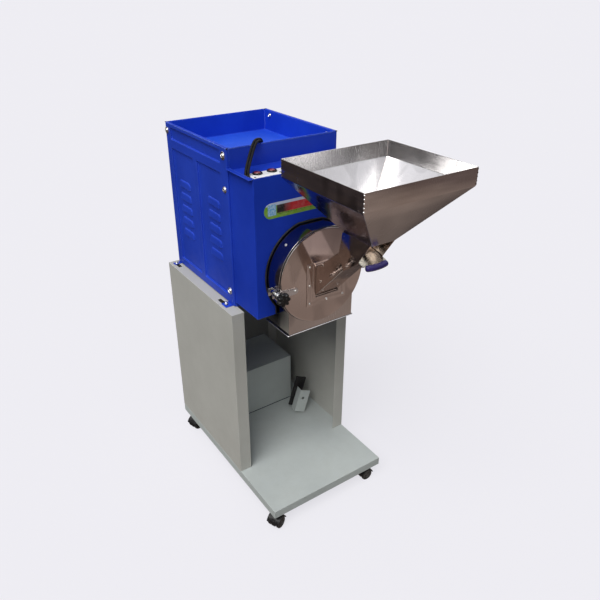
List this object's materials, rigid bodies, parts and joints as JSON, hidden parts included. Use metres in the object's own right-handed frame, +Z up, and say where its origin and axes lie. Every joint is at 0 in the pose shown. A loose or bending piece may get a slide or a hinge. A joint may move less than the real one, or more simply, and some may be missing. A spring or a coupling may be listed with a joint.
{
  "type": "hammer mill",
  "caption": "Cabinet hammer mill: stand on casters, louvred motor casing with tray top, drum chamber with swing door, sloping inlet, tray hopper with slide gate.",
  "frame": {"origin": "on the floor, at the centre of the footprint of the whole machine's bounding box", "axes": "+Z up, -Y is the front where the hopper and the outlet are, +X is to the right of someone facing the rear (left of someone facing the machine's front is -X)"},
  "size_m": [0.4472, 0.908, 1.1525],
  "materials": {
    "stand_paint": "pale grey-green textured powder coat",
    "casing_paint": "royal blue powder coat, satin",
    "control_plate_paint": "white, satin",
    "switch_housing_plastic": "black, fine texture",
    "switch_red": "dark red, glossy",
    "cable_jacket": "black cable jacket, matt",
    "motor_paint": "grey-blue machine enamel",
    "fan_plastic": "black moulding",
    "bearing_steel": "ground bearing steel",
    "rotor_steel": "machined carbon steel",
    "hammer_steel": "hardened steel, darkened edges",
    "pin_zinc": "bright zinc",
    "stainless_mirror": "mirror-polished stainless sheet",
    "stainless_plain": "brushed stainless sheet",
    "seal_rubber": "black rubber",
    "knob_plastic": "black, semi-gloss moulding",
    "grip_plastic": "deep indigo, rounded",
    "caster_plate_zinc": "zinc-plated pressing",
    "caster_plastic": "black moulding",
    "caster_tread": "black tread, dusty"
  },
  "bodies": {
    "machine_body": {"base_platform": "stand_paint", "left_side_panel": "stand_paint", "right_side_panel": "stand_paint", "stand_back_panel": "stand_paint", "rear_equipment_box": "stand_paint", "casing_frame": "casing_paint", "left_side_cover": "casing_paint", "right_side_cover": "casing_paint", "top_tray": "casing_paint", "front_box": "casing_paint", "control_plate": "control_plate_paint", "switch_housing_left": "switch_housing_plastic", "switch_housing_right": "switch_housing_plastic", "power_cable": "cable_jacket", "motor_housing": "motor_paint", "motor_front_endshield": "motor_paint", "motor_rear_endshield": "motor_paint", "motor_fan_cover": "motor_paint", "motor_terminal_box": "motor_paint", "shaft_bearing_front": "bearing_steel", "shaft_bearing_rear": "bearing_steel", "chamber_shell": "stainless_mirror", "chamber_back_plate": "stainless_plain", "screen": "stainless_plain", "edge_trim": "seal_rubber", "door_hinge_bracket": "stainless_plain", "latch_lug": "stainless_plain", "caster_plate_front_left": "caster_plate_zinc", "caster_plate_front_right": "caster_plate_zinc", "caster_plate_rear_left": "caster_plate_zinc", "caster_plate_rear_right": "caster_plate_zinc"},
    "rotor": {"rotor": "rotor_steel", "motor_shaft": "rotor_steel", "motor_fan": "fan_plastic", "hammer_pin_1": "pin_zinc", "hammer_pin_2": "pin_zinc", "hammer_pin_3": "pin_zinc", "hammer_pin_4": "pin_zinc"},
    "hammer_1": {"hammer_1": "hammer_steel"},
    "hammer_2": {"hammer_2": "hammer_steel"},
    "hammer_3": {"hammer_3": "hammer_steel"},
    "hammer_4": {"hammer_4": "hammer_steel"},
    "door": {"door_disc": "stainless_mirror", "door_gasket": "seal_rubber", "inlet_duct": "stainless_mirror"},
    "knob_collar": {"knob_collar": "pin_zinc"},
    "star_knob": {"star_knob": "knob_plastic"},
    "hopper": {"hopper": "stainless_mirror"},
    "feed_gate": {"feed_gate": "stainless_mirror", "gate_grip": "grip_plastic"},
    "rocker_left": {"switch_rocker_left": "switch_red"},
    "rocker_right": {"switch_rocker_right": "switch_red"},
    "caster_swivel_front_left": {"caster_hood_front_left": "caster_plastic"},
    "caster_wheelset_front_left": {"caster_wheels_front_left": "caster_tread"},
    "caster_swivel_front_right": {"caster_hood_front_right": "caster_plastic"},
    "caster_wheelset_front_right": {"caster_wheels_front_right": "caster_tread"},
    "caster_swivel_rear_left": {"caster_hood_rear_left": "caster_plastic"},
    "caster_wheelset_rear_left": {"caster_wheels_rear_left": "caster_tread"},
    "caster_swivel_rear_right": {"caster_hood_rear_right": "caster_plastic"},
    "caster_wheelset_rear_right": {"caster_wheels_rear_right": "caster_tread"}
  },
  "joints": [
    {"name": "rotor_spin", "type": "hinge", "parent": "machine_body", "child": "rotor", "pos_m": [0, -0.065, 0.8006], "axis": [0, -1, 0], "continuous": true},
    {"name": "hammer_1_swing", "type": "hinge", "parent": "rotor", "child": "hammer_1", "pos_m": [0.04667, -0.065, 0.84727], "axis": [0, -1, 0], "range_deg": [-60, 60]},
    {"name": "hammer_2_swing", "type": "hinge", "parent": "rotor", "child": "hammer_2", "pos_m": [0.04667, -0.065, 0.75393], "axis": [0, -1, 0], "range_deg": [-60, 60]},
    {"name": "hammer_3_swing", "type": "hinge", "parent": "rotor", "child": "hammer_3", "pos_m": [-0.04667, -0.065, 0.75393], "axis": [0, -1, 0], "range_deg": [-60, 60]},
    {"name": "hammer_4_swing", "type": "hinge", "parent": "rotor", "child": "hammer_4", "pos_m": [-0.04667, -0.065, 0.84727], "axis": [0, -1, 0], "range_deg": [-60, 60]},
    {"name": "door_swing", "type": "hinge", "parent": "machine_body", "child": "door", "pos_m": [0.152, -0.108, 0.8006], "axis": [0, 0, 1], "range_deg": [0, 110]},
    {"name": "knob_travel", "type": "slide", "parent": "door", "child": "knob_collar", "axis": [0, -1, 0], "range_m": [0, 0.01]},
    {"name": "knob_turn", "type": "hinge", "parent": "knob_collar", "child": "star_knob", "pos_m": [-0.146, -0.151, 0.781], "axis": [0, -1, 0], "range_deg": [0, 2880]},
    {"name": "hopper_lift", "type": "slide", "parent": "door", "child": "hopper", "axis": [0, -0.7268, 0.6868], "range_m": [0, 0.05]},
    {"name": "gate_slide", "type": "slide", "parent": "hopper", "child": "feed_gate", "axis": [0, -0.9781, -0.2079], "range_m": [0, 0.072]},
    {"name": "rocker_left_tilt", "type": "hinge", "parent": "machine_body", "child": "rocker_left", "pos_m": [-0.13, -0.012, 1.0797], "axis": [1, 0, 0], "range_deg": [0, 12]},
    {"name": "rocker_right_tilt", "type": "hinge", "parent": "machine_body", "child": "rocker_right", "pos_m": [-0.0865, -0.012, 1.0797], "axis": [1, 0, 0], "range_deg": [0, 12]},
    {"name": "swivel_front_left", "type": "hinge", "parent": "machine_body", "child": "caster_swivel_front_left", "pos_m": [-0.18, -0.164, 0.04], "axis": [0, 0, 1], "continuous": true},
    {"name": "wheel_roll_front_left", "type": "hinge", "parent": "caster_swivel_front_left", "child": "caster_wheelset_front_left", "pos_m": [-0.1937, -0.1701, 0.02], "axis": [0.4067, -0.9135, 0], "continuous": true},
    {"name": "swivel_front_right", "type": "hinge", "parent": "machine_body", "child": "caster_swivel_front_right", "pos_m": [0.18, -0.164, 0.04], "axis": [0, 0, 1], "continuous": true},
    {"name": "wheel_roll_front_right", "type": "hinge", "parent": "caster_swivel_front_right", "child": "caster_wheelset_front_right", "pos_m": [0.165, -0.164, 0.02], "axis": [0, -1, 0], "continuous": true},
    {"name": "swivel_rear_left", "type": "hinge", "parent": "machine_body", "child": "caster_swivel_rear_left", "pos_m": [-0.18, 0.4, 0.04], "axis": [0, 0, 1], "continuous": true},
    {"name": "wheel_roll_rear_left", "type": "hinge", "parent": "caster_swivel_rear_left", "child": "caster_wheelset_rear_left", "pos_m": [-0.19442, 0.39587, 0.02], "axis": [0.2756, -0.9613, 0], "continuous": true},
    {"name": "swivel_rear_right", "type": "hinge", "parent": "machine_body", "child": "caster_swivel_rear_right", "pos_m": [0.18, 0.4, 0.04], "axis": [0, 0, 1], "continuous": true},
    {"name": "wheel_roll_rear_right", "type": "hinge", "parent": "caster_swivel_rear_right", "child": "caster_wheelset_rear_right", "pos_m": [0.1937, 0.3939, 0.02], "axis": [0.4067, 0.9135, 0], "continuous": true}
  ],
  "couplings": [
    {"joint": "knob_turn", "follows": "knob_travel", "rad_per_m": 5026.5}
  ]
}
